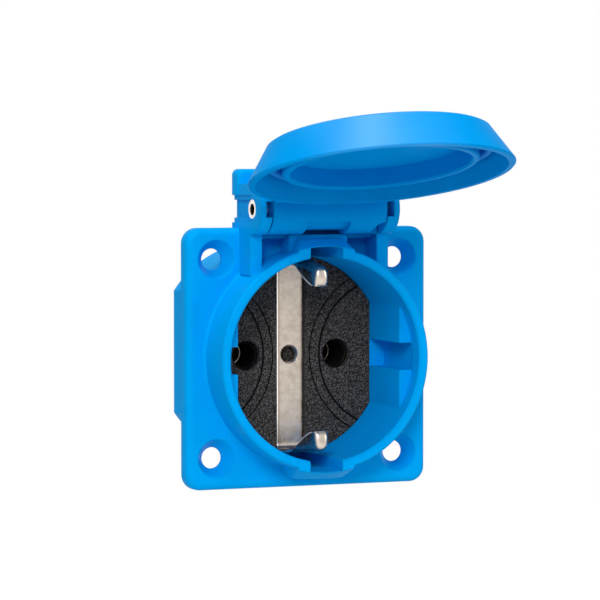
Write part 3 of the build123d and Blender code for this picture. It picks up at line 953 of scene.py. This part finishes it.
@dataclass
class EarthStrip(Assembly):
    """The strip across the face, bent forward at both ends into pressed hoods.

    Its middle surface is a spline over a net of points in millimetres. The net
    covers the upper left quarter: each row runs from the free edge to the plane
    X = 0, and the rows go from the middle of the strip to the middle of the
    nose. Mirror copies make the other quarters.
    """

    thickness: float = 0.7 * MM
    plain_x: tuple[float, ...] = (-2.825, -2.2, -1.4, -0.7, 0.0)
    plain_rows: tuple[tuple[float, float], ...] = (
        (6.7, 0.0),
        (6.7, 6.0),
        (6.7, 12.0),
        (6.7, 16.0),
        (6.7, 18.6),
        (4.0, 18.55),
        (1.5, 18.4),
        (-0.2, 18.2),
    )
    hood_rows: tuple[tuple[Point, ...], ...] = (
        (
            (-2.1, -1.3, 17.6), (-2.0, -1.3, 17.8), (-1.7, -1.3, 18.0),
            (-0.8, -1.3, 18.0), (0, -1.3, 18.0),
        ),
        (
            (-1.3, -2.2, 16.8), (-1.4, -2.2, 17.3), (-1.35, -2.2, 17.95),
            (-0.7, -2.2, 17.95), (0, -2.2, 17.95),
        ),
        (
            (-1.25, -4.3, 15.45), (-1.35, -4.3, 16.4), (-1.3, -4.3, 17.8),
            (-0.7, -4.3, 17.9), (0, -4.3, 17.9),
        ),
        (
            (-1.25, -6.4, 14.65), (-1.35, -6.4, 15.6), (-1.3, -6.4, 17.4),
            (-0.65, -6.2, 17.8), (0, -6.0, 17.8),
        ),
        (
            (-1.25, -8.1, 14.1), (-1.35, -8.1, 15.1), (-1.3, -8.0, 17.2),
            (-0.6, -7.5, 17.6), (0, -7.0, 17.7),
        ),
        (
            (-1.1, -8.8, 14.0), (-1.2, -9.1, 14.9), (-1.15, -8.9, 17.1),
            (-0.5, -8.1, 17.5), (0, -7.6, 17.55),
        ),
        (
            (-0.75, -9.0, 14.05), (-0.85, -9.6, 14.7), (-0.8, -9.5, 17.0),
            (-0.35, -8.7, 17.4), (0, -8.2, 17.45),
        ),
        (
            (-0.4, -9.0, 14.05), (-0.45, -9.65, 14.7), (-0.4, -9.6, 17.0),
            (-0.2, -9.0, 17.35), (0, -8.5, 17.4),
        ),
        (
            (0, -9.0, 14.05), (0, -9.65, 14.7), (0, -9.6, 17.0),
            (0, -9.1, 17.3), (0, -8.7, 17.35),
        ),
    )
    row_steps: int = 6
    column_steps: int = 4
    hole_radius: float = 1.5 * MM
    hole_bevel: float = 0.35 * MM
    hole_sides: int = 64
    tool_core: float = 0.03 * MM
    edge_rounding: float = 0.12 * MM
    edge_segments: int = 2
    edge_angle: float = math.radians(50)
    burr_depth: float = -2.0 * MM
    burr_left: float = -1.1 * MM
    burr_radius: float = 0.12 * MM
    burr_least: float = 0.1
    burr_tip: float = 0.02
    burr_sides: int = 10

    def build(self) -> None:
        """Press the sheet, give it its thickness, edges and hole, and dress it."""
        strip = self.sheet()
        thicken = strip.modifiers.new("thickness", "SOLIDIFY")
        thicken.thickness, thicken.offset = self.thickness, 0.0
        soften = strip.modifiers.new("edges", "BEVEL")
        soften.width, soften.segments = self.edge_rounding, self.edge_segments
        soften.limit_method, soften.angle_limit = "ANGLE", self.edge_angle
        cutter = self.countersink()
        drill = strip.modifiers.new("hole", "BOOLEAN")
        drill.operation, drill.solver, drill.object = "DIFFERENCE", "EXACT", cutter
        settle(strip)
        bpy.data.objects.remove(cutter)
        self.add(strip, Body.SOCKET, Slot.STRIP, "earth_bracket")
        for side, flip in (("upper", 1.0), ("lower", -1.0)):
            burr = self.burr(f"earth_strip_burr_{side}", flip)
            self.add(burr, Body.SOCKET, Slot.STRIP, finish=Variant.BURR_GLINT)

    def quarter(self) -> np.ndarray:
        """Upper left quarter of the middle surface, rows by columns by 3."""
        plain = np.array([[(x, y, z) for x in self.plain_x] for y, z in self.plain_rows])
        net = np.concatenate([plain, np.array(self.hood_rows)]) * MM
        rows = spline(net, self.row_steps)
        return spline(rows.swapaxes(0, 1), self.column_steps).swapaxes(0, 1)

    def burr(self, name: str, flip: float) -> bpy.types.Object:
        """Thin bead along the left free edge of one hood: a burr whose near-white finish is a
        painted glint.

        The bead follows the edge in front of the burr's depth and left of its
        X, and its radius falls from the middle to the two tips.

        Args:
            name: Name of the piece.
            flip: 1 for the upper hood, -1 for the lower one.

        Returns:
            The new object.
        """
        edge = self.quarter()[:, 0]
        edge = edge[(edge[:, 1] < self.burr_depth) & (edge[:, 0] < self.burr_left)]
        edge = edge + np.array((-self.thickness / 2, 0.0, 0.0))
        share = np.linspace(0, 1, len(edge))
        swell = np.sqrt(np.maximum(self.burr_least**2, 4 * share * (1 - share)))
        along = np.gradient(edge, axis=0)
        along /= np.linalg.norm(along, axis=1)[:, None]
        aside = np.cross(along, (1.0, 0.0, 0.0))
        across = np.cross(aside, along)
        angle = np.linspace(0, 2 * math.pi, self.burr_sides, endpoint=False)
        spoke = np.cos(angle)[:, None] * across[:, None] + np.sin(angle)[:, None] * aside[:, None]
        ring = edge[:, None] + self.burr_radius * swell[:, None, None] * spoke
        first = (ring[:1] - edge[0]) * self.burr_tip + edge[0]
        last = (ring[-1:] - edge[-1]) * self.burr_tip + edge[-1]
        rings = np.concatenate([first, ring, last]) * np.array((1.0, 1.0, flip))
        points, quads = rings.reshape(-1, 3), grid_faces(*rings.shape[:2], True, True)
        return add_surface(name, points, outward(points, quads))

    def sheet(self) -> bpy.types.Object:
        """Middle surface of the whole strip, with its doubled points joined."""
        quarter = self.quarter()
        half = np.concatenate([quarter, quarter[:, -2::-1] * np.array((-1.0, 1.0, 1.0))], 1)
        whole = np.concatenate([half[:0:-1] * np.array((1.0, 1.0, -1.0)), half])
        flat = whole.reshape(-1, 3).round(JOIN_DIGITS)
        points, numbers = np.unique(flat, axis=0, return_inverse=True)
        quads = numbers.reshape(-1)[grid_faces(*whole.shape[:2], False, False)]
        return add_surface("earth_strip", points, quads)

    def countersink(self) -> bpy.types.Object:
        """Tool with the shape of the countersunk hole, on the socket's axis."""
        front = self.plain_rows[0][0] * MM - self.thickness / 2
        wide = self.hole_radius + 2 * self.hole_bevel
        profile = np.array(
            [
                (self.tool_core, front - self.hole_bevel),
                (wide, front - self.hole_bevel),
                (self.hole_radius, front + self.hole_bevel),
                (self.hole_radius, front + 2 * self.thickness),
                (self.tool_core, front + 2 * self.thickness),
            ]
        )
        return turned("hole_tool", profile, (0, 0, 0), (0, 1, 0), self.hole_sides)


@dataclass
class WiringEnd(Assembly):
    """Terminals, screws and clamp rings behind the face."""

    def build(self) -> None:
        """Dress the metal pieces at the rear."""
        poles = ("left", "earth", "right")
        self.dress_nodes((f"terminal_{pole}" for pole in poles), Slot.BRASS)
        self.dress_nodes((f"terminal_screw_{pole}" for pole in poles), Slot.SCREW)
        places = ("left", "right", "lower")
        self.dress_nodes((f"carrier_screw_{place}" for place in places), Slot.SCREW)
        self.dress_nodes(("contact_spring_left", "contact_spring_right"), Slot.SPRING)


# Studio


@dataclass(frozen=True)
class SoftBox:
    """A square lamp that looks at the socket."""

    name: str
    place: Point
    side: float
    watts: float

    def hang(self, aim: Vector) -> None:
        """Add the lamp and turn it to the aim.

        Args:
            aim: Point that the lamp looks at.
        """
        lamp = bpy.data.lights.new(self.name, "AREA")
        lamp.shape = "SQUARE"
        lamp.size = self.side
        lamp.energy = self.watts
        holder = bpy.data.objects.new(self.name, lamp)
        holder.location = self.place
        holder.rotation_euler = (aim - Vector(self.place)).to_track_quat("-Z", "Y").to_euler()
        bpy.context.scene.collection.objects.link(holder)


@dataclass(frozen=True)
class Viewpoint:
    """Where the camera stands, as angles and a distance from its aim."""

    azimuth: float = -23.091
    elevation: float = 2.693
    distance: float = 625.743 * MM
    aim_right: float = -0.351 * MM
    aim_up: float = 10.831 * MM
    lens: float = 194.153
    sensor: float = 36.0
    nearest: float = 10 * MM

    def set_camera(self) -> None:
        """Add the camera and make it the scene's own."""
        turn, rise = math.radians(self.azimuth), math.radians(self.elevation)
        back = Vector(
            (math.sin(turn) * math.cos(rise), -math.cos(turn) * math.cos(rise), math.sin(rise))
        )
        right = Vector((math.cos(turn), math.sin(turn), 0.0))
        up = back.cross(right)
        aim = right * self.aim_right + up * self.aim_up
        lens = bpy.data.cameras.new("viewpoint")
        lens.lens = self.lens
        lens.sensor_width = self.sensor
        lens.clip_start = self.nearest
        camera = bpy.data.objects.new("viewpoint", lens)
        camera.matrix_world = Matrix.Translation(aim + back * self.distance) @ Matrix(
            (right, up, back)
        ).transposed().to_4x4()
        bpy.context.scene.collection.objects.link(camera)
        bpy.context.scene.camera = camera


@dataclass
class Studio:
    """White room, pale floor, soft lamps and the camera."""

    floor_height: float = -0.06
    floor_radius: float = 0.3
    floor_core: float = 1 * MM
    floor_sides: int = 96
    ambient: float = 0.24
    floor_colour: Colour = (0.8, 0.8, 0.8)
    floor_lift: float = 0.55
    lamps: tuple[SoftBox, ...] = (
        SoftBox("front box", (-0.5, -0.95, 0.5), 0.4, 8.7),
        SoftBox("top box", (-0.16, -0.04, 0.92), 0.3, 4.4),
        SoftBox("side box", (0.8, -0.6, 0.2), 0.5, 2.3),
    )
    lamp_aim: Point = (0.0, 0.0, 0.01)
    viewpoint: Viewpoint = field(default_factory=Viewpoint)

    def build(self) -> None:
        """Set the view, the room, the floor, the lamps and the camera."""
        bpy.context.scene.view_settings.view_transform = "Standard"
        self.paint_room()
        self.lay_floor()
        for lamp in self.lamps:
            lamp.hang(Vector(self.lamp_aim))
        self.viewpoint.set_camera()

    def paint_room(self) -> None:
        """White for the camera, for gloss and for glass, and a softer light for the rest."""
        room = Shading(bpy.data.worlds.new("room"))
        strength = 1 - room.unseen() * (1 - self.ambient)
        sky = room.node("ShaderNodeBackground", None, {"Color": WHITE, "Strength": strength})
        room.node("ShaderNodeOutputWorld", None, {"Surface": sky})
        bpy.context.scene.world = room.owner

    def lay_floor(self) -> None:
        """A pale disc that keeps the shadow and looks white where it is lit."""
        rim = np.array([(self.floor_core, 0.0), (self.floor_radius, 0.0)])
        rings = ring_points(rim, (0, 0, self.floor_height), (0, 0, 1), self.floor_sides)
        quads = grid_faces(len(rim), self.floor_sides, False, True)
        floor = add_surface("floor", rings.reshape(-1, 3), quads)
        coat = Coat("pale floor")
        paper = coat.node("ShaderNodeBsdfDiffuse", None, {"Color": self.floor_colour})
        lift = (1 - coat.unseen()) * self.floor_lift
        glow = coat.node("ShaderNodeEmission", None, {"Color": WHITE, "Strength": lift})
        both = coat.node("ShaderNodeAddShader", None, {0: paper, 1: glow})
        coat.node("ShaderNodeOutputMaterial", None, {"Surface": both})
        floor.data.materials.append(coat.owner)
        floor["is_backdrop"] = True


def make_finishes() -> dict[Union[Slot, Variant], bpy.types.Material]:
    """Make every finish once, by its slot or variant."""
    return {
        Variant.LID: LID_SHADED_PLASTIC.make(),
        Variant.FACE: FACE_PLASTIC.make(),
        Variant.SHADED_HOLE: HOLE_SHADE_PLASTIC.make(),
        Variant.DEEP_SHADE: SHADED_BRASS.make(),
        Variant.BURR_GLINT: BURR_GLINT_PAINT.make(),
        Slot.BLUE: BLUE_PLASTIC.make(),
        Slot.BLACK: BLACK_PLASTIC.make(),
        Slot.SEAL: SEAL_RUBBER.make(),
        Slot.STRIP: STRIP_METAL.make(),
        Slot.PIN: PIN_METAL.make(),
        Slot.SPRING: SPRING_METAL.make(),
        Slot.BRASS: BRASS.make(),
        Slot.SCREW: SCREW_METAL.make(),
    }


def corners() -> list[list[float]]:
    """Lowest and highest corner of what is shown, as plain numbers."""
    return [list(corner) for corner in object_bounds()]


def main() -> None:
    """Load the frame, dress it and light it."""
    logging.basicConfig(level=logging.INFO, format="%(name)s: %(message)s")
    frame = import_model()
    finishes = make_finishes()
    for assembly in (Shell, Hinge, Cover, SocketFace, EarthStrip, WiringEnd):
        assembly(frame["nodes"], finishes).build()
    Studio().build()


if __name__ == "__main__":
    main()
